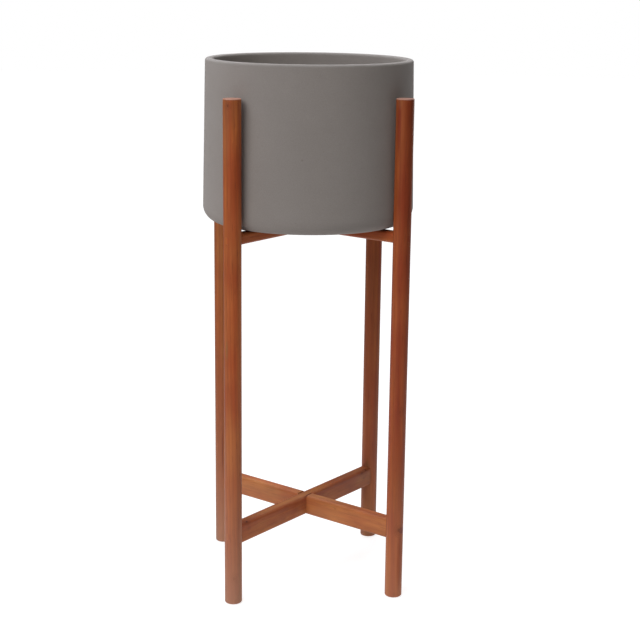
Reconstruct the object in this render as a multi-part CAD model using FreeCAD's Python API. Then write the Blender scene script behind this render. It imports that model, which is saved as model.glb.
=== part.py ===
import FreeCAD, Part
import math
import os

# Planter with stand. A round pot sits between four round legs, on the upper of two
# crosses of bars. Millimetres, +Z up, floor at z = 0, front towards -Y, the legs on
# the diagonals. A piece is drawn as if its corner lay on +X, then turned into place.

V = FreeCAD.Vector

# Whole object
overall_height = 650.0

# Pot: one thick-walled shell, whose base stands out past its rim by the flare all round
pot_height = 194.0
pot_rim_diameter = 250.0
pot_base_flare = 3.5
pot_wall = 9.5
pot_floor = 10.0
pot_base_rounding = 18.0
pot_inner_rounding = 14.0
pot_lip_share = 0.34
foot_ring_width = 16.0
foot_ring_height = 2.0
foot_ring_rounding = 0.8

# Legs: round rods that stand just clear of the pot
leg_diameter = 21.0
leg_drop = 39.0
leg_foot_rounding = 2.0
leg_top_rounding = 0.8
pot_to_leg_clearance = 1.0

# Bars: two to a cross, halved into each other where they meet
bar_thickness = 15.0
upper_bar_height = 13.0
lower_bar_height = 25.0
lower_bar_underside = 75.0
bar_edge_rounding = 3.5
lap_share = 0.5
lap_fit = 0.1
glue_line = 0.1

# Screws: one through each leg into each bar's end, their heads sunk below the surface
screw_diameter = 4.0
screw_length = 38.0
screw_head_diameter = 7.4
screw_head_height = 2.6
screw_tip_length = 5.0
screw_tip_diameter = 0.8
screw_recess_length = 4.2
screw_recess_width = 1.0
screw_recess_depth = 1.8
screw_hole_clearance = 0.1

# Plugs: wooden dowel ends glued over the screw heads and cut flush with the leg
plug_diameter = 8.0
plug_hole_clearance = 0.1
plug_depth = 5.0
plug_to_head_gap = 0.2

# A cut runs this far past the surface that it opens
overrun = 1.0
# Two lengths this close count as the same one
same_length = 0.001

# Levels and radii that follow from the sizes above
seat_level = overall_height - pot_height
leg_length = overall_height - leg_drop
leg_radius = leg_diameter / 2
pot_rim_radius = pot_rim_diameter / 2
pot_base_radius = pot_rim_radius + pot_base_flare
leg_circle = pot_base_radius + pot_to_leg_clearance + leg_radius
leg_outside = leg_circle + leg_radius
screw_head_face = leg_outside - plug_depth
upper_middle = seat_level - upper_bar_height / 2
lower_middle = lower_bar_underside + lower_bar_height / 2

# Turns about the middle axis, in degrees, counted from +X
half_turn = 180.0
quarter_turn = half_turn / 2
first_corner_turn = quarter_turn / 2
corners = ("back_right", "back_left", "front_left", "front_right")
corner_turns = {
    corner: first_corner_turn + place * quarter_turn for place, corner in enumerate(corners)
}
screw_levels = {"upper": upper_middle, "lower": lower_middle}

middle = V(0, 0, 0)
upwards = V(0, 0, 1)
inwards = V(-1, 0, 0)


def turned(shape, turn):
    """A copy of the shape, turned about the middle axis."""
    copy = shape.copy()
    copy.rotate(middle, upwards, turn)
    return copy


def round_ring(solid, radius, level, rounding):
    """Rounds the level circular edge of this radius on a solid of revolution."""
    rings = []
    for edge in solid.Edges:
        if not isinstance(edge.Curve, Part.Circle):
            continue
        at_level = abs(edge.Curve.Center.z - level) < same_length
        if at_level and abs(edge.Curve.Radius - radius) < same_length:
            rings.append(edge)
    return solid.makeFillet(rounding, rings)


def make_pot():
    """The pot, open at the top, on a shallow foot ring."""
    hollow_floor = seat_level + pot_floor
    hollow_radius = pot_base_radius - pot_wall
    mouth_radius = pot_rim_radius - pot_wall
    ring_radius = pot_base_radius - pot_base_rounding - foot_ring_width
    ring_top = seat_level + foot_ring_height
    outline = [
        V(0, 0, ring_top),
        V(ring_radius, 0, ring_top),
        V(ring_radius, 0, seat_level),
        V(pot_base_radius, 0, seat_level),
        V(pot_rim_radius, 0, overall_height),
        V(mouth_radius, 0, overall_height),
        V(hollow_radius, 0, hollow_floor),
        V(0, 0, hollow_floor),
        V(0, 0, ring_top),
    ]
    pot = Part.Face(Part.makePolygon(outline)).revolve(middle, upwards)
    lip_rounding = pot_wall * pot_lip_share
    pot = round_ring(pot, pot_base_radius, seat_level, pot_base_rounding)
    pot = round_ring(pot, ring_radius, seat_level, foot_ring_rounding)
    pot = round_ring(pot, hollow_radius, hollow_floor, pot_inner_rounding)
    pot = round_ring(pot, pot_rim_radius, overall_height, lip_rounding)
    return round_ring(pot, mouth_radius, overall_height, lip_rounding)


def leg_rod(extra=0):
    """The round rod of a leg, or with extra the hollow that fits round it."""
    return Part.makeCylinder(leg_radius + extra, leg_length, V(leg_circle, 0, 0))


def screw_body(level, growth=0):
    """A screw without its recess, or with growth the hole that it runs in."""
    shank_radius = screw_diameter / 2 + growth
    tip_radius = screw_tip_diameter / 2 + growth
    neck = screw_head_face - screw_head_height
    tip_start = screw_head_face - screw_length + screw_tip_length
    head = Part.makeCone(
        screw_head_diameter / 2 + growth,
        shank_radius,
        screw_head_height,
        V(screw_head_face, 0, level),
        inwards,
    )
    shank = Part.makeCylinder(shank_radius, neck - tip_start, V(neck, 0, level), inwards)
    tip = Part.makeCone(
        shank_radius, tip_radius, screw_tip_length + growth, V(tip_start, 0, level), inwards
    )
    return head.fuse(shank).fuse(tip).removeSplitter()


def make_screw(level, turn):
    """A countersunk wood screw with a crossed recess in its head."""
    screw = screw_body(level)
    for across, along in (
        (screw_recess_length, screw_recess_width),
        (screw_recess_width, screw_recess_length),
    ):
        corner = V(screw_head_face - screw_recess_depth, -across / 2, level - along / 2)
        screw = screw.cut(Part.makeBox(screw_recess_depth + overrun, across, along, corner))
    return turned(screw, turn)


def make_plug(level, turn):
    """A plug over a screw's head, flush with the round of the leg."""
    start = screw_head_face + plug_to_head_gap
    length = leg_outside + overrun - start
    dowel = Part.makeCylinder(plug_diameter / 2, length, V(start, 0, level), -inwards)
    return turned(dowel.common(leg_rod()), turn)


def make_leg(turn):
    """A leg with its two stepped screw holes."""
    leg = round_ring(leg_rod(), leg_radius, 0, leg_foot_rounding)
    leg = round_ring(leg, leg_radius, leg_length, leg_top_rounding)
    plug_hole_radius = plug_diameter / 2 + plug_hole_clearance
    for level in screw_levels.values():
        mouth = V(leg_outside + overrun, 0, level)
        plug_hole = Part.makeCylinder(plug_hole_radius, plug_depth + overrun, mouth, inwards)
        leg = leg.cut(plug_hole).cut(screw_body(level, screw_hole_clearance))
    return turned(leg, turn)


def ease_long_edges(bar):
    """Rounds the four edges that run along the bar."""
    length = bar.BoundBox.XLength
    long_edges = [edge for edge in bar.Edges if abs(edge.Length - length) < same_length]
    return bar.makeFillet(bar_edge_rounding, long_edges)


def make_bar(underside, height, laps_over, turn):
    """A bar from leg to leg, hollowed at its ends to seat on the legs and halved in the middle."""
    blank = Part.makeBox(
        2 * leg_circle, bar_thickness, height, V(-leg_circle, -bar_thickness / 2, underside)
    )
    bar = ease_long_edges(blank)
    cuts = [leg_rod(glue_line), screw_body(underside + height / 2, screw_hole_clearance)]
    for cut in cuts:
        bar = bar.cut(cut).cut(turned(cut, half_turn))
    notch_width = bar_thickness + 2 * lap_fit
    notch_depth = height * lap_share + lap_fit / 2
    notch_start = underside - overrun if laps_over else underside + height - notch_depth
    notch = Part.makeBox(
        notch_width,
        bar_thickness + 2 * overrun,
        notch_depth + overrun,
        V(-notch_width / 2, -bar_thickness / 2 - overrun, notch_start),
    )
    return turned(bar.cut(notch), turn)


def build():
    """Every piece by its name, in place."""
    pieces = {"pot": make_pot()}
    for corner, turn in corner_turns.items():
        pieces["leg_" + corner] = make_leg(turn)
        for cross, level in screw_levels.items():
            pieces["screw_" + cross + "_" + corner] = make_screw(level, turn)
            pieces["plug_" + cross + "_" + corner] = make_plug(level, turn)
    bars = {
        "upper": (seat_level - upper_bar_height, upper_bar_height),
        "lower": (lower_bar_underside, lower_bar_height),
    }
    for cross, (underside, height) in bars.items():
        over_turn = corner_turns["front_left"]
        under_turn = corner_turns["front_right"]
        pieces[cross + "_bar_over"] = make_bar(underside, height, True, over_turn)
        pieces[cross + "_bar_under"] = make_bar(underside, height, False, under_turn)
    return pieces


os.makedirs("parts", exist_ok=True)
for name, piece in build().items():
    piece.exportStep("parts/" + name + ".step")
    print(name, "volume", round(piece.Volume), "solids", len(piece.Solids), "valid", piece.isValid())
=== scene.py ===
import bpy
import bmesh
import math
from mathutils import Matrix, Vector, noise


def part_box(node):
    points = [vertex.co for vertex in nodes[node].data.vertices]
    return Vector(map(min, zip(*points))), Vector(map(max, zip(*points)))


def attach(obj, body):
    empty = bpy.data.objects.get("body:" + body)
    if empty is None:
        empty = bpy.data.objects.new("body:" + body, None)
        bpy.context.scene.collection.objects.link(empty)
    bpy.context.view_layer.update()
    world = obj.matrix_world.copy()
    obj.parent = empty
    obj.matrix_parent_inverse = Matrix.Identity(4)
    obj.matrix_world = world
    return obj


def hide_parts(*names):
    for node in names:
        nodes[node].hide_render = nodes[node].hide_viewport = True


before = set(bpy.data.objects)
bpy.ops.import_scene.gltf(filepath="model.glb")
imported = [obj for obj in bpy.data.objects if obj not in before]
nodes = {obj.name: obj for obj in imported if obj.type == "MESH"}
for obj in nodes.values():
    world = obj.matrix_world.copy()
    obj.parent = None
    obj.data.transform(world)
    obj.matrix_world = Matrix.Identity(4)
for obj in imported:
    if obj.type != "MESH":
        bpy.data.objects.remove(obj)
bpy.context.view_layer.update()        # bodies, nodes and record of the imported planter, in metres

mm = 0.001
quarterTurn = math.pi / 2
fullTurn = 2 * math.pi
print("frame loaded:", len(nodes), "pieces")


# A few short tools for building node trees

noiseSpread = (0.3, 0.7)           # nearly all of a noise lies between these


def newMaterial(name):
    material = bpy.data.materials.new(name)
    material.use_nodes = True
    tree = material.node_tree
    tree.nodes.clear()
    return material, tree


def setSocket(tree, socket, value):
    if isinstance(value, bpy.types.NodeSocket):
        tree.links.new(value, socket)
    else:
        socket.default_value = value


def addNode(tree, kind, inputs=None, **settings):
    node = tree.nodes.new("ShaderNode" + kind)
    for key, value in settings.items():
        setattr(node, key, value)
    for key, value in (inputs or {}).items():
        setSocket(tree, node.inputs[key], value)
    return node


def objectPlace(tree):
    return addNode(tree, "TexCoord").outputs["Object"]


def calc(tree, operation, first, second=0.0):
    return addNode(tree, "Math", {0: first, 1: second}, operation=operation).outputs[0]


def plus(tree, first, second):
    return calc(tree, "ADD", first, second)


def times(tree, first, second):
    return calc(tree, "MULTIPLY", first, second)


def shared(tree, share, first, second):
    return plus(tree, times(tree, first, share), times(tree, second, 1 - share))


def vectorCalc(tree, operation, first, second):
    return addNode(tree, "VectorMath", {0: first, 1: second}, operation=operation).outputs[0]


def lengthOf(tree, vector):
    return addNode(tree, "VectorMath", {0: vector}, operation="LENGTH").outputs["Value"]


def turnedVector(tree, vector, turn):
    inputs = {"Vector": vector, "Rotation": turn}
    return addNode(tree, "VectorRotate", inputs, rotation_type="EULER_XYZ").outputs[0]


def remap(tree, value, low, high, outLow=0.0, outHigh=1.0, smooth=True):
    inputs = {"Value": value, "From Min": low, "From Max": high,
              "To Min": outLow, "To Max": outHigh}
    kind = "SMOOTHSTEP" if smooth else "LINEAR"
    return addNode(tree, "MapRange", inputs, interpolation_type=kind).outputs[0]


def blendColour(tree, share, first, second, mode="MIX"):
    node = addNode(tree, "Mix", data_type="RGBA", blend_type=mode)
    for place, value in ((0, share), (6, first), (7, second)):      # the sockets for colours
        setSocket(tree, node.inputs[place], value)
    return node.outputs[2]


def tinted(tree, colour, tint, share=1.0):
    return blendColour(tree, share, colour, tint, "MULTIPLY")


def greyOf(tree, value):
    return addNode(tree, "CombineColor", {0: value, 1: value, 2: value}).outputs[0]


def grainNoise(tree, vector, scale, detail=3.0, roughness=0.5, distortion=0.0):
    inputs = {"Vector": vector, "Scale": scale, "Detail": detail,
              "Roughness": roughness, "Distortion": distortion}
    return addNode(tree, "TexNoise", inputs).outputs["Fac"]


def waveScale(width):
    return 0.5 / width             # a wave of noise is two widths long


def relief(tree, height, depth, under=None, sunk=False):
    strength, distance = depth
    inputs = {"Strength": strength, "Distance": distance, "Height": height}
    if under is not None:
        inputs["Normal"] = under
    return addNode(tree, "Bump", inputs, invert=sunk).outputs[0]


def finishSurface(tree, inputs):
    surface = addNode(tree, "BsdfPrincipled", inputs)
    addNode(tree, "OutputMaterial", {"Surface": surface.outputs[0]})


def rgb(red, green, blue):
    return (red, green, blue, 1.0)


def dress(piece, material):
    piece.data.materials.clear()
    piece.data.materials.append(material)


# The pot: a lathed clay shell with slightly uneven hand-finished walls

potLook = {
    "wall": 9.5 * mm,
    "floor": 10 * mm,
    "flare": 3.5 * mm,             # the base stands out past the rim by this
    "baseRounding": 18 * mm,
    "innerRounding": 14 * mm,
    "lipRounding": 3.2 * mm,
    "footRingWidth": 16 * mm,
    "footRingHeight": 2 * mm,
    "footRingRounding": 0.8 * mm,
    "baseSteps": 16,               # straight pieces that make up each rounding
    "innerSteps": 12,
    "lipSteps": 8,
    "footRingSteps": 4,
    "edgeMargin": 0.25 * mm,       # how far the clay keeps inside its box
    "unevenness": 0.2 * mm,
    "unevenPast": 80 * mm,         # only the walls are uneven, which lie past this radius
    "waves": (14, 14, 22),         # how close the unevenness lies, across and up
    "turns": 180,                  # straight pieces all round
    "stretch": 6 * mm,             # longest step along the profile
}


def arcPoints(centre, radius, start, end, steps):
    points = []
    for step in range(steps + 1):
        angle = math.radians(start + (end - start) * step / steps)
        points.append((centre[0] + radius * math.cos(angle), centre[1] + radius * math.sin(angle)))
    return points


def stretched(points, step):
    filled = [points[0]]
    for before, after in zip(points, points[1:]):
        pieces = max(1, math.ceil(math.dist(before, after) / step))
        for piece in range(1, pieces + 1):
            share = piece / pieces
            filled.append(tuple(a + (b - a) * share for a, b in zip(before, after)))
    return filled


def potProfile(look, low, high):
    baseRadius = (high.x - low.x) / 2 - look["edgeMargin"]
    rimRadius = baseRadius - look["flare"]
    bottom, top = low.z, high.z
    lip, base, inner = look["lipRounding"], look["baseRounding"], look["innerRounding"]
    ringInner = baseRadius - base - look["footRingWidth"]
    ringTop = bottom + look["footRingHeight"]
    ringEase = look["footRingRounding"]
    hollowFloor = bottom + look["floor"]
    hollowRadius = baseRadius - look["wall"]
    mouthRadius = rimRadius - look["wall"]
    ringCentre = (ringInner + ringEase, bottom + ringEase)
    baseCentre = (baseRadius - base, bottom + base)
    outerLipCentre = (rimRadius - lip, top - lip)
    innerLipCentre = (mouthRadius + lip, top - lip)
    innerCentre = (hollowRadius - inner, hollowFloor + inner)
    points = [(0, ringTop), (ringInner, ringTop)]
    points += arcPoints(ringCentre, ringEase, 180, 270, look["footRingSteps"])
    points += arcPoints(baseCentre, base, -90, 0, look["baseSteps"])
    points += arcPoints(outerLipCentre, lip, 0, 90, look["lipSteps"])
    points += arcPoints(innerLipCentre, lip, 90, 180, look["lipSteps"])
    points += arcPoints(innerCentre, inner, 0, -90, look["innerSteps"])
    points += [(0, hollowFloor)]
    return stretched(points, look["stretch"])


def ringPoints(mesh, radius, level, turns):
    if radius == 0:
        return [mesh.verts.new((0, 0, level))]
    ring = []
    for turn in range(turns):
        angle = fullTurn * turn / turns
        ring.append(mesh.verts.new((radius * math.cos(angle), radius * math.sin(angle), level)))
    return ring


def lathe(name, profile, turns):
    mesh = bmesh.new()
    rings = [ringPoints(mesh, radius, level, turns) for radius, level in profile]
    for lower, upper in zip(rings, rings[1:]):
        for turn in range(turns):
            after = (turn + 1) % turns
            if len(lower) == 1:
                mesh.faces.new((lower[0], upper[after], upper[turn]))
            elif len(upper) == 1:
                mesh.faces.new((lower[turn], lower[after], upper[0]))
            else:
                mesh.faces.new((lower[turn], lower[after], upper[after], upper[turn]))
    bmesh.ops.recalc_face_normals(mesh, faces=mesh.faces)
    for face in mesh.faces:
        face.smooth = True
    data = bpy.data.meshes.new(name)
    mesh.to_mesh(data)
    mesh.free()
    piece = bpy.data.objects.new(name, data)
    bpy.context.scene.collection.objects.link(piece)
    return piece


def unevenWalls(piece, look):
    waveX, waveY, waveZ = look["waves"]
    for vertex in piece.data.vertices:
        place = vertex.co
        radius = math.hypot(place.x, place.y)
        if radius > look["unevenPast"]:
            wave = noise.noise(Vector((place.x * waveX, place.y * waveY, place.z * waveZ)))
            shrink = 1 - look["unevenness"] * (0.5 + 0.5 * wave) / radius
            place.x *= shrink
            place.y *= shrink


clayLook = {
    "shade": rgb(0.325, 0.289, 0.266),
    "light": rgb(0.349, 0.312, 0.289),
    "lipHighlightColour": rgb(0.45, 0.42, 0.40),
    "pore": rgb(0.15, 0.13, 0.115),
    "cloudScale": 9,
    "cloudShare": 0.6,             # the rest of the tone comes from the finer mottle
    "mottleScale": 70,
    "sandScale": 1500,
    "grit": (0.94, 1.06),          # how much the sand darkens and lightens
    "holeScale": 230.0,            # small cells, each with a pinhole in its middle
    "holeSize": (0.05, 0.11),      # as a share of the cell
    "holeShare": 0.55,
    "holePatchScale": 160,
    "holePatches": (0.56, 0.64),   # the noise that lets pinholes through
    "fleck": (-22.0 * mm, -125.0 * mm, 544.0 * mm),      # one larger pinhole, on the front
    "fleckSize": (0.6 * mm, 1.7 * mm),
    "fleckShare": 0.35,
    "lipHighlight": (648 * mm, 651 * mm),       # painted highlight: the lip is made a little paler between these levels
    "lipHighlightWander": 2 * mm,
    "lipHighlightShare": 0.6,
    "spongeStretch": (1.0, 1.0, 14.0),    # a sponge was dragged level round the wall
    "spongeScale": 18,
    "spongeRelief": (0.35, 0.35 * mm),    # strength and depth
    "sandRelief": (0.5, 0.12 * mm),
    "holeRelief": (0.7, 0.3 * mm),
    "roughness": (0.78, 0.9),
    "specular": 0.35,
    "softness": 0.8,               # Blender's diffuse roughness, high on dry clay
}


def potClay(look):
    material, tree = newMaterial("potClay")
    place = objectPlace(tree)
    cloud = grainNoise(tree, place, look["cloudScale"], distortion=0.4)
    mottle = grainNoise(tree, place, look["mottleScale"], detail=5, roughness=0.6)
    sand = grainNoise(tree, place, look["sandScale"], detail=2, roughness=0.6)
    tone = shared(tree, look["cloudShare"], cloud, mottle)
    colour = blendColour(tree, remap(tree, tone, *noiseSpread), look["shade"], look["light"])
    colour = tinted(tree, colour, greyOf(tree, remap(tree, sand, *noiseSpread, *look["grit"])))

    # Pinholes: small cells, kept only where a wide noise lets them through
    inputs = {"Vector": place, "Scale": look["holeScale"], "Randomness": 1.0}
    toHole = addNode(tree, "TexVoronoi", inputs).outputs["Distance"]
    holePatch = grainNoise(tree, place, look["holePatchScale"], detail=1)
    lets = remap(tree, holePatch, *look["holePatches"])
    hole = times(tree, remap(tree, toHole, *look["holeSize"], 1.0, 0.0), lets)
    colour = blendColour(tree, times(tree, hole, look["holeShare"]), colour, look["pore"])
    toFleck = lengthOf(tree, vectorCalc(tree, "SUBTRACT", place, look["fleck"]))
    fleck = remap(tree, toFleck, *look["fleckSize"], look["fleckShare"], 0.0)
    colour = blendColour(tree, fleck, colour, look["pore"])

    # Painted highlight: the lip is made paler near its top
    level = addNode(tree, "SeparateXYZ", {0: place}).outputs["Z"]
    level = plus(tree, level, times(tree, mottle, look["lipHighlightWander"]))
    lipHighlight = remap(tree, level, *look["lipHighlight"], 0.0, look["lipHighlightShare"])
    colour = blendColour(tree, lipHighlight, colour, look["lipHighlightColour"])

    # Relief: the faint drag of a sponge, then fine sand, then pinholes
    drag = vectorCalc(tree, "MULTIPLY", place, look["spongeStretch"])
    normal = relief(tree, grainNoise(tree, drag, look["spongeScale"]), look["spongeRelief"])
    normal = relief(tree, sand, look["sandRelief"], normal)
    normal = relief(tree, hole, look["holeRelief"], normal, sunk=True)
    finishSurface(tree, {
        "Base Color": colour,
        "Roughness": remap(tree, mottle, *noiseSpread, *look["roughness"]),
        "Specular IOR Level": look["specular"],
        "Diffuse Roughness": look["softness"],
        "Normal": normal,
    })
    return material


def makePot():
    low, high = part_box("pot")
    pot = lathe("potShell", potProfile(potLook, low, high), potLook["turns"])
    unevenWalls(pot, potLook)
    dress(pot, potClay(clayLook))
    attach(pot, "pot")
    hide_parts("pot")


makePot()
print("pot made")


# The wood: stained hardwood, each stick cut from its own place in a log

woodLook = {
    "gold": rgb(0.465, 0.133, 0.033),
    "red": rgb(0.375, 0.073, 0.018),
    "deep": rgb(0.215, 0.038, 0.010),
    "knot": rgb(0.060, 0.016, 0.007),
    "worn": rgb(0.600, 0.370, 0.300),
    "paintedBounceColour": rgb(0.520, 0.285, 0.190),     # painted bounce light from the floor, paler towards it
    "paintedBounceHeight": 320 * mm,
    "paintedBouncePower": 2.6,
    "drawnOut": 0.045,             # the grain is this much coarser along the stick
    "seedSteps": (1.37, 0.71, 2.13),       # how far one seed lies from the next in the noise
    # Growth rings about the heart of the log, which passes beside the stick
    "heart": (26 * mm, 33 * mm),
    "heartSpread": (9 * mm, 11 * mm),      # it lies elsewhere for each stick, within these
    "heartTurns": (2.3, 1.7),              # how fast it moves with the seed
    "lean": 0.018,                 # the heart leans away from the stick by this
    "ringWander": 2.0,             # rings that the grain wanders over
    "wanderScale": 14,
    "lateWood": (0.25, 0.9),       # a ring darkens between these shares of its width
    # Colour across the grain
    "hueWidth": 9.0 * mm,
    "hueShift": 3.1,               # how far the hue's noise lies from the streaks'
    "hueShare": 0.65,              # the rest of the hue comes from wide patches
    "hueSpread": (0.40, 0.60),
    "patchScale": 12,
    "streakWidth": 6.5 * mm,
    "streakSpread": (0.45, 0.75),
    "fibreWidth": 1.0 * mm,
    "fibreTint": (0.93, 1.06),
    "poreWidth": 0.5 * mm,
    "poreSpread": (0.62, 0.72),
    "poreShare": 0.3,
    # Clouds of darker and lighter wood: the noise where each starts and is full, and its tint
    "cloudStretch": (1.0, 1.0, 0.35),
    "cloudScale": 75,
    "cloudDark": (0.48, 0.70, rgb(0.84, 0.76, 0.78)),
    "cloudLight": (0.50, 0.30, rgb(1.10, 1.22, 1.18)),
    # Knots push the rings aside and darken the wood. Their reaches count in sizes of the knot.
    "knotStretch": (1.0, 1.0, 0.75),
    "knotRough": (420, 0.5),       # scale and share of the rough edge
    "knotPush": (0.6, 3.4, 2.4),   # the last is how many rings they are pushed
    "knotCore": (0.7, 1.35),
    "knotHalo": (1.0, 4.0, 0.35),  # the last is its share of the knot's strength
    # Marks, whose reach counts in their widths and lengths, and worn ends
    "markRough": (160, 0.7),
    "markReach": (0.65, 1.45),
    "endRough": -1.2 * mm,
    "endReach": (-0.4 * mm, 1.2 * mm),
    "endShare": 0.55,
    "fibreRelief": (0.3, 0.1 * mm),
    "poreRelief": (0.4, 0.1 * mm),
    "roughness": (0.39, 0.51),
    "poreRoughness": 0.3,
    "specular": 0.3,
}


def ringsOf(tree, along, drawn, stick):
    look = woodLook
    seed = stick["seed"]
    parts = addNode(tree, "SeparateXYZ", {0: along})
    heartX = look["heart"][0] + look["heartSpread"][0] * math.sin(seed * look["heartTurns"][0])
    heartY = look["heart"][1] + look["heartSpread"][1] * math.cos(seed * look["heartTurns"][1])
    lean = times(tree, parts.outputs["Z"], look["lean"])
    acrossX = plus(tree, plus(tree, parts.outputs["X"], heartX), lean)
    acrossY = plus(tree, parts.outputs["Y"], heartY)
    fromHeart = addNode(tree, "CombineXYZ", {0: acrossX, 1: acrossY}).outputs[0]
    rings = calc(tree, "DIVIDE", lengthOf(tree, fromHeart), stick["rings"])
    wander = grainNoise(tree, drawn, look["wanderScale"], detail=2)
    return plus(tree, rings, times(tree, wander, look["ringWander"]))


def gapTo(tree, place, spot, turn, stretch):
    away = turnedVector(tree, vectorCalc(tree, "SUBTRACT", place, spot), turn)
    return lengthOf(tree, vectorCalc(tree, "MULTIPLY", away, stretch))


def addKnots(tree, place, turn, rings, knots):
    roughScale, roughShare = woodLook["knotRough"]
    pushFrom, pushTo, push = woodLook["knotPush"]
    coreFrom, coreTo = woodLook["knotCore"]
    haloFrom, haloTo, haloShare = woodLook["knotHalo"]
    knotDark = 0.0
    for spot, size, strength in knots:
        gap = gapTo(tree, place, spot, turn, woodLook["knotStretch"])
        rings = plus(tree, rings, remap(tree, gap, size * pushFrom, size * pushTo, push, 0.0))
        rough = grainNoise(tree, place, roughScale)
        ragged = plus(tree, gap, times(tree, rough, size * roughShare))
        core = remap(tree, ragged, size * coreFrom, size * coreTo, strength, 0.0)
        halo = remap(tree, ragged, size * haloFrom, size * haloTo, strength * haloShare, 0.0)
        knotDark = calc(tree, "MAXIMUM", knotDark, calc(tree, "MAXIMUM", core, halo))
    return rings, knotDark


def addMarks(tree, place, turn, drawn, colour, marks):
    # Flames, scuffs and duller stretches, and some painted shade and painted highlights
    roughScale, roughShare = woodLook["markRough"]
    rough = grainNoise(tree, drawn, roughScale, detail=2)
    for spot, width, length, tint in marks:
        gap = gapTo(tree, place, spot, turn, (1 / width, 1 / width, 1 / length))
        gap = plus(tree, gap, times(tree, rough, roughShare))
        share = remap(tree, gap, *woodLook["markReach"], 1.0, 0.0)
        colour = tinted(tree, colour, rgb(*tint), share)
    return colour


def addClouds(tree, along, colour, amount):
    wide = vectorCalc(tree, "MULTIPLY", along, woodLook["cloudStretch"])
    cloud = grainNoise(tree, wide, woodLook["cloudScale"], detail=2, distortion=0.6)
    for start, end, tint in (woodLook["cloudDark"], woodLook["cloudLight"]):
        colour = tinted(tree, colour, tint, remap(tree, cloud, start, end, 0.0, amount))
    return colour


def makeWood(name, centre, turn, stick):
    look = woodLook
    seed = stick["seed"]
    material, tree = newMaterial(name)
    place = objectPlace(tree)
    moved = vectorCalc(tree, "SUBTRACT", place, centre)
    along = turnedVector(tree, moved, turn)        # the stick's length lies along Z
    drawn = vectorCalc(tree, "MULTIPLY", along, (1.0, 1.0, look["drawnOut"]))
    drawn = vectorCalc(tree, "ADD", drawn, tuple(seed * step for step in look["seedSteps"]))

    rings = ringsOf(tree, along, drawn, stick)
    rings, knotDark = addKnots(tree, place, turn, rings, stick["knots"])
    ringPhase = calc(tree, "FRACT", rings)
    lateFrom, lateTo = look["lateWood"]
    darkening = remap(tree, ringPhase, lateFrom, lateTo)
    lateWood = times(tree, darkening, remap(tree, ringPhase, 1.0, lateTo))

    streakNoise = grainNoise(tree, drawn, waveScale(look["streakWidth"]), distortion=0.2)
    fibreNoise = grainNoise(tree, drawn, waveScale(look["fibreWidth"]), roughness=0.55)
    poreNoise = grainNoise(tree, drawn, waveScale(look["poreWidth"]), detail=1)
    hueStart = vectorCalc(tree, "ADD", drawn, (look["hueShift"], seed, 0))
    hueNoise = grainNoise(tree, hueStart, waveScale(look["hueWidth"]), detail=2, distortion=0.3)
    patchStart = vectorCalc(tree, "ADD", along, (seed, 0, 0))
    patch = grainNoise(tree, patchStart, look["patchScale"], detail=2)

    # The hue, then rings, streaks, fibres and pores over it
    hue = shared(tree, look["hueShare"], hueNoise, patch)
    colour = blendColour(tree, remap(tree, hue, *look["hueSpread"]), look["red"], look["gold"])
    colour = blendColour(tree, times(tree, lateWood, stick["figure"]), colour, look["deep"])
    streak = remap(tree, streakNoise, *look["streakSpread"], 0.0, stick["streaks"])
    colour = blendColour(tree, streak, colour, look["deep"])
    fibre = remap(tree, fibreNoise, *noiseSpread, *look["fibreTint"])
    colour = tinted(tree, colour, greyOf(tree, fibre))
    pore = remap(tree, poreNoise, *look["poreSpread"], 0.0, look["poreShare"])
    colour = blendColour(tree, pore, colour, look["knot"])

    # The tone of the whole stick from its foot to its top, partly the wood's own and partly painted
    # shade
    colour = tinted(tree, colour, rgb(*stick["tint"]))
    if stick["mottle"]:
        colour = addClouds(tree, along, colour, stick["mottle"])
    half = stick["half"]
    height = addNode(tree, "SeparateXYZ", {0: along}).outputs["Z"]
    tone = remap(tree, height, -half, half, *stick["shade"], smooth=False)
    colour = tinted(tree, colour, greyOf(tree, tone))

    # Painted bounce light: paler towards the floor. Wear: paler at the worn ends
    if stick["paintedBounceShare"]:
        level = addNode(tree, "SeparateXYZ", {0: place}).outputs["Z"]
        low = remap(tree, level, 0.0, look["paintedBounceHeight"], 1.0, 0.0, smooth=False)
        share = times(tree, calc(tree, "POWER", low, look["paintedBouncePower"]), stick["paintedBounceShare"])
        colour = blendColour(tree, share, colour, look["paintedBounceColour"])
    colour = addMarks(tree, place, turn, drawn, colour, stick["marks"])
    if stick["openEnds"]:
        toEnd = calc(tree, "SUBTRACT", half, calc(tree, "ABSOLUTE", height))
        toEnd = plus(tree, toEnd, times(tree, fibreNoise, look["endRough"]))
        worn = remap(tree, toEnd, *look["endReach"], look["endShare"], 0.0)
        colour = blendColour(tree, worn, colour, look["worn"])
    if stick["knots"]:
        colour = blendColour(tree, knotDark, colour, look["knot"])

    normal = relief(tree, fibreNoise, look["fibreRelief"])
    normal = relief(tree, pore, look["poreRelief"], normal, sunk=True)
    gloss = remap(tree, fibreNoise, *noiseSpread, *look["roughness"])
    finishSurface(tree, {
        "Base Color": colour,
        "Roughness": plus(tree, gloss, times(tree, pore, look["poreRoughness"])),
        "Specular IOR Level": look["specular"],
        "Normal": normal,
    })
    return material


legStick = {"rings": 4.2 * mm, "figure": 0.24, "mottle": 0, "openEnds": True}
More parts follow.
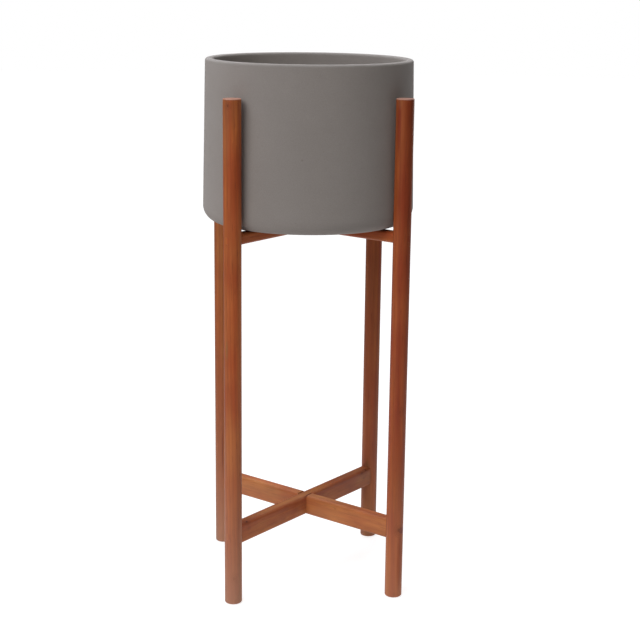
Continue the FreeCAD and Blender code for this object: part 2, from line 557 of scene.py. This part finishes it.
# On a leg a place is given by the turn from the front to the right, in degrees, and the height
# in mm. A knot then has its size and strength, and a mark its width, length and tint.
legLook = {
    "front_left": {
        "seed": 1.0, "streaks": 0.35, "paintedBounceShare": 0.66,
        "tint": (1.15, 1.16, 1.14), "shade": (1.00, 0.98),
        "knots": ((-32, 603.5, 1.6, 0.50), (1, 34, 2.2, 0.14)),
        "marks": (
            # painted shade: the top of the leg darker
            (-10, 606, 14, 36, (0.80, 0.80, 0.95)),
            (-50, 575, 6, 60, (0.80, 0.84, 1.05)),
            (45, 555, 6, 62, (0.90, 0.78, 0.86)),
            (8, 330, 9, 100, (0.96, 0.80, 0.72)),
            # painted highlight: a pale grey patch on the left side
            (-46, 320, 2.6, 15, (0.88, 1.24, 1.42)),
        ),
    },
    "front_right": {
        "seed": 2.0, "streaks": 0.40, "paintedBounceShare": 0.36,
        "tint": (0.88, 0.70, 0.66), "shade": (1.26, 0.80),
        "knots": ((19, 89, 2.4, 0.50), (33, 90.5, 1.8, 0.40), (6, 240, 2.0, 0.25)),
        "marks": (
            (-47, 606, 4, 9, (1.12, 1.50, 1.80)),
            # painted shade: the side towards the pot darker near the top
            (-50, 583, 3.6, 48, (0.76, 0.55, 0.80)),
            (-50, 482, 4, 42, (0.84, 0.76, 0.78)),
            # painted bounce light from the floor: the foot paler
            (0, 20, 16, 90, (1.14, 1.13, 1.02)),
            (-15, 170, 7, 70, (1.08, 1.25, 1.00)),
            (-55, 42, 7, 70, (1.12, 1.28, 1.05)),
            (30, 48, 4.4, 46, (0.80, 0.66, 0.58)),
        ),
    },
    "back_right": {
        "seed": 3.0, "streaks": 0.35, "paintedBounceShare": 0.38,
        "tint": (0.85, 0.81, 0.78), "shade": (1.00, 1.05),
        "knots": (),
        "marks": (
            # painted shade: the side towards the pot darker
            (-46, 265, 9, 115, (0.84, 0.74, 0.70)),
            (0, 55, 15, 85, (0.95, 1.02, 0.72)),
            (30, 60, 6, 60, (1.24, 1.12, 1.10)),
            (-48, 60, 6, 60, (0.86, 0.80, 0.80)),
            (0, 440, 14, 60, (1.10, 1.12, 1.06)),
            (-31, 102, 5, 10, (0.80, 1.00, 1.04)),
        ),
    },
    "back_left": {
        "seed": 4.0, "streaks": 0.65, "paintedBounceShare": 0.60,
        "tint": (1.10, 1.44, 1.60), "shade": (0.95, 0.84),
        "knots": (),
        "marks": (
            (-10, 130, 1.2, 36, (0.80, 0.70, 0.70)),
            (-25, 438, 14, 50, (0.86, 0.74, 0.74)),
            (-25, 340, 14, 90, (1.12, 1.14, 1.04)),
        ),
    },
}
# On a bar a place is given by the way along it to the right of its middle, the way across it
# towards the front, and the height, all in mm
barLook = {
    "lower_over": {
        "seed": 5.2, "rings": 7.5 * mm, "figure": 0.12, "streaks": 0.18, "mottle": 0.8, "paintedBounceShare": 0.26,
        "tint": (1.02, 1.02, 0.72), "shade": (1.25, 0.84),
        "knots": (
            (-121.6, 5.6, 99.6, 1.6, 0.75),
            (-120.2, 8.2, 91.5, 1.4, 0.5),
            (122.0, 6.6, 99.4, 1.8, 0.7),
            (112.8, 8.0, 97.0, 1.6, 0.6),
            (117.7, 8.0, 89.0, 1.5, 0.4),
        ),
        "marks": (
            (68, 7, 87, 34, 66, (0.94, 0.86, 0.80)),
            # painted highlight on the top face, in these four marks
            (-24, 0, 102, 9, 50, (1.21, 1.62, 1.82)),
            (-88, 0, 102, 9, 40, (1.01, 1.20, 1.48)),
            (24, 0, 102, 9, 46, (1.04, 1.20, 1.12)),
            (90, 0, 102, 9, 44, (0.96, 1.25, 1.45)),
            (-14, 7.5, 88, 15, 17, (1.12, 1.36, 1.64)),
            # painted shade in the gap of the joint, where the bars meet
            (0, 6.3, 99.3, 1.9, 9.5, (0.42, 0.36, 0.40)),      # the joint, where the bars meet
        ),
    },
    "lower_under": {
        "seed": 6.1, "rings": 8.0 * mm, "figure": 0.12, "streaks": 0.14, "mottle": 0.8, "paintedBounceShare": 0.42,
        "tint": (1.29, 1.43, 1.12), "shade": (1.00, 1.00),
        "knots": ((54, 7.5, 94, 1.3, 0.28),),
        "marks": (
            (-70, 7, 87, 34, 66, (1.00, 1.14, 1.12)),
            # painted highlight on the top face, in these three marks
            (-58, 0, 102, 9, 76, (1.18, 1.04, 1.30)),
            (-12, 0, 102, 8, 26, (1.04, 1.24, 1.25)),
            (26, 0, 102, 8, 40, (1.02, 1.14, 1.40)),
            (104, 7, 75, 12, 56, (0.84, 0.80, 0.80)),
            (22, 7.5, 77, 10, 30, (0.90, 0.86, 0.86)),
            # painted light, lifting the shade in the groove beside the upper bar
            (-7.6, 0, 98.5, 9, 1.2, (1.30, 1.80, 1.90)),       # the cut face beside the upper bar
        ),
    },
    "upper_over": {
        "seed": 7.4, "rings": 6.5 * mm, "figure": 0.18, "streaks": 0.25, "mottle": 0.5, "paintedBounceShare": 0,
        "tint": (1.00, 0.98, 0.95), "shade": (1.00, 1.00),
        "knots": (), "marks": (),
    },
    "upper_under": {
        "seed": 8.3, "rings": 6.5 * mm, "figure": 0.18, "streaks": 0.20, "mottle": 0.5, "paintedBounceShare": 0,
        "tint": (1.10, 1.10, 1.05), "shade": (1.00, 1.00),
        "knots": (), "marks": (),
    },
}
plugLook = {
    "seedStep": 0.05,              # a plug comes from beside its leg in the log
    "half": 10 * mm,
    "darkTint": {"lower_front_right": (0.58, 0.42, 0.42)},     # the one plug of a darker wood
}
steelLook = {
    "dark": rgb(0.42, 0.42, 0.40),
    "bright": rgb(0.62, 0.62, 0.60),
    "dullScale": 600,
    "roughness": (0.28, 0.45),
}


def onLeg(low, high, degrees, height):
    around = math.radians(degrees)
    middle, radius = (low + high) / 2, (high.x - low.x) / 2
    return (middle.x + radius * math.sin(around), middle.y - radius * math.cos(around), height * mm)


def onBar(lay, along, side, height):
    slope = math.sqrt(0.5) * mm
    if lay == "over":
        return ((along + side) * slope, (along - side) * slope, height * mm)
    return ((along - side) * slope, (-along - side) * slope, height * mm)


def dressLegs():
    for corner, look in legLook.items():
        low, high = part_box("leg_" + corner)
        knots = [(onLeg(low, high, turn, height), size * mm, strength)
                 for turn, height, size, strength in look["knots"]]
        marks = [(onLeg(low, high, turn, height), width * mm, length * mm, tint)
                 for turn, height, width, length, tint in look["marks"]]
        stick = {**legStick, **look, "knots": knots, "marks": marks, "half": (high.z - low.z) / 2}
        # Turned by its seed, each leg shows another side of its log
        wood = makeWood("legWood_" + corner, (low + high) / 2, (0, 0, look["seed"]), stick)
        dress(nodes["leg_" + corner], wood)


def dressBars():
    for kind, look in barLook.items():
        cross, lay = kind.split("_")
        low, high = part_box(cross + "_bar_" + lay)
        diagonal = quarterTurn / 2 if lay == "over" else -quarterTurn / 2
        # First turn the bar's length onto X, then stand it up along Z
        upright = Matrix.Rotation(-quarterTurn, 4, "Y") @ Matrix.Rotation(-diagonal, 4, "Z")
        turn = tuple(upright.to_euler("XYZ"))
        knots = [(onBar(lay, *place), size * mm, strength) for *place, size, strength in look["knots"]]
        marks = [(onBar(lay, *place), width * mm, length * mm, tint)
                 for *place, width, length, tint in look["marks"]]
        stick = {**look, "knots": knots, "marks": marks, "openEnds": False,
                 "half": math.hypot(high.x - low.x, high.y - low.y) / 2}
        wood = makeWood("barWood_" + kind, (low + high) / 2, turn, stick)
        dress(nodes[cross + "_bar_" + lay], wood)


def screwSteel(look):
    steel, tree = newMaterial("screwSteel")
    dull = grainNoise(tree, objectPlace(tree), look["dullScale"])
    finishSurface(tree, {
        "Base Color": blendColour(tree, dull, look["dark"], look["bright"]),
        "Metallic": 1.0,
        "Roughness": remap(tree, dull, *noiseSpread, *look["roughness"]),
    })
    return steel


def dressPlug(ending, corner):
    low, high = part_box("plug_" + ending)
    leg = legLook[corner]
    # The plug takes its leg's tone and painted shade at its height
    level = (low.z + high.z) / 2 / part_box("leg_" + corner)[1].z
    foot, top = leg["shade"]
    shade = foot + (top - foot) * level
    stick = {**legStick, **leg, "seed": leg["seed"] + plugLook["seedStep"], "shade": (shade, shade),
             "half": plugLook["half"], "openEnds": False, "knots": (), "marks": (),
             "tint": plugLook["darkTint"].get(ending, leg["tint"])}
    wood = makeWood("plugWood_" + ending, (low + high) / 2, (0, 0, leg["seed"]), stick)
    dress(nodes["plug_" + ending], wood)


def dressFastenings():
    steel = screwSteel(steelLook)
    for cross in ("upper", "lower"):
        for corner in legLook:
            dress(nodes["screw_" + cross + "_" + corner], steel)
            dressPlug(cross + "_" + corner, corner)


dressLegs()
dressBars()
dressFastenings()
print("wood and steel dressed")


# The studio: a pale lit floor, a large soft light from the front left, and softer ones above
# and behind

studioLook = {
    "floorRadius": 9.0,
    "floorSegments": 96,
    "floorDrop": 0.3 * mm,
    "floorColour": rgb(0.62, 0.61, 0.60),
    "floorGlow": 0.33,             # light from the floor itself, near the planter
    "glowReach": (0.6, 1.5),
    "shownColour": rgb(0.55, 0.55, 0.55),
    "shownGlow": 0.74,             # the floor turns white towards the backdrop
    "shownReach": (0.8, 4.0),
    "airColour": rgb(0.95, 0.97, 1.0),
    "airStrength": 0.03,
    "backdropColour": rgb(1, 1, 1),
    "aim": (0.0, 0.0, 0.36),
    "lights": {
        "keyLight": {"place": (-1.377, -1.451, 1.90), "size": 1.7, "power": 34.3},
        "topLight": {"place": (0.0, -0.3, 2.60), "size": 1.6, "power": 13.0},
        "leftTopLight": {"place": (-1.1, 0.2, 2.40), "size": 1.4, "power": 11.5,
                         "colour": (0.74, 0.89, 1.12)},
        "backTopLight": {"place": (0.0, 1.2, 2.30), "size": 1.4, "power": 20.0},
        "backRightLight": {"place": (2.0, 1.8, 1.00), "size": 1.2, "power": 18.0},
    },
}


def glowingMatt(tree, glow, colour):
    light = addNode(tree, "Emission", {"Strength": glow})
    matt = addNode(tree, "BsdfDiffuse", {"Color": colour})
    return addNode(tree, "AddShader", {0: light.outputs[0], 1: matt.outputs[0]}).outputs[0]


def shownApart(tree, real, shown):
    # The camera sees the second, and all other light meets the first
    ray = addNode(tree, "LightPath").outputs["Is Camera Ray"]
    return addNode(tree, "MixShader", {0: ray, 1: real, 2: shown}).outputs[0]


def makeFloor(look):
    mesh = bmesh.new()
    bmesh.ops.create_circle(mesh, cap_ends=True, segments=look["floorSegments"],
                            radius=look["floorRadius"])
    data = bpy.data.meshes.new("studioFloor")
    mesh.to_mesh(data)
    mesh.free()
    floor = bpy.data.objects.new("studioFloor", data)
    floor.location.z = -look["floorDrop"]
    bpy.context.scene.collection.objects.link(floor)
    material, tree = newMaterial("studioFloorPale")
    reach = lengthOf(tree, objectPlace(tree))
    shown = glowingMatt(tree, remap(tree, reach, *look["shownReach"], look["shownGlow"], 1.0),
                        look["shownColour"])
    real = glowingMatt(tree, remap(tree, reach, *look["glowReach"], look["floorGlow"], 0.0),
                       look["floorColour"])
    addNode(tree, "OutputMaterial", {"Surface": shownApart(tree, real, shown)})
    dress(floor, material)


def makeWorld(look):
    world = bpy.data.worlds.new("studioAir")
    bpy.context.scene.world = world
    world.use_nodes = True
    tree = world.node_tree
    tree.nodes.clear()
    air = addNode(tree, "Background", {"Color": look["airColour"], "Strength": look["airStrength"]})
    backdrop = addNode(tree, "Background", {"Color": look["backdropColour"], "Strength": 1.0})
    addNode(tree, "OutputWorld", {"Surface": shownApart(tree, air.outputs[0], backdrop.outputs[0])})


def softLight(name, look, aim):
    data = bpy.data.lights.new(name, "AREA")
    data.shape = "SQUARE"
    data.size = look["size"]
    data.energy = look["power"]
    if "colour" in look:           # the others are white
        data.color = look["colour"]
    lamp = bpy.data.objects.new(name, data)
    lamp.location = look["place"]
    lamp.rotation_euler = (Vector(aim) - Vector(look["place"])).to_track_quat("-Z", "Y").to_euler()
    bpy.context.scene.collection.objects.link(lamp)


makeFloor(studioLook)
makeWorld(studioLook)
for lightName, lightLook in studioLook["lights"].items():
    softLight(lightName, lightLook, studioLook["aim"])
print("studio lit")


# The camera, where the photograph was taken from

cameraLook = {
    "lens": 81.04,
    "sensor": 36.0,
    "distance": 1.745,             # from the planter's middle axis, measured level
    "height": 0.7557,
    "around": 6.79,                # degrees left of the planter's front
    "down": 13.77,
    "aside": 0.534,                # turned past the planter, which then stands left of the middle
    "roll": 0.676,
}


def makeCamera(look):
    data = bpy.data.cameras.new("photoCamera")
    data.lens = look["lens"]
    data.sensor_width = look["sensor"]
    camera = bpy.data.objects.new("photoCamera", data)
    around = math.radians(look["around"])
    heading = around + math.radians(look["aside"])
    distance = look["distance"]
    place = (-distance * math.sin(around), -distance * math.cos(around), look["height"])
    camera.matrix_world = (
        Matrix.Translation(place)
        @ Matrix.Rotation(-heading, 4, "Z")
        @ Matrix.Rotation(quarterTurn - math.radians(look["down"]), 4, "X")
        @ Matrix.Rotation(math.radians(look["roll"]), 4, "Z")
    )
    bpy.context.scene.collection.objects.link(camera)
    bpy.context.scene.camera = camera


makeCamera(cameraLook)
bpy.context.scene.view_settings.view_transform = "Standard"
print("camera placed")
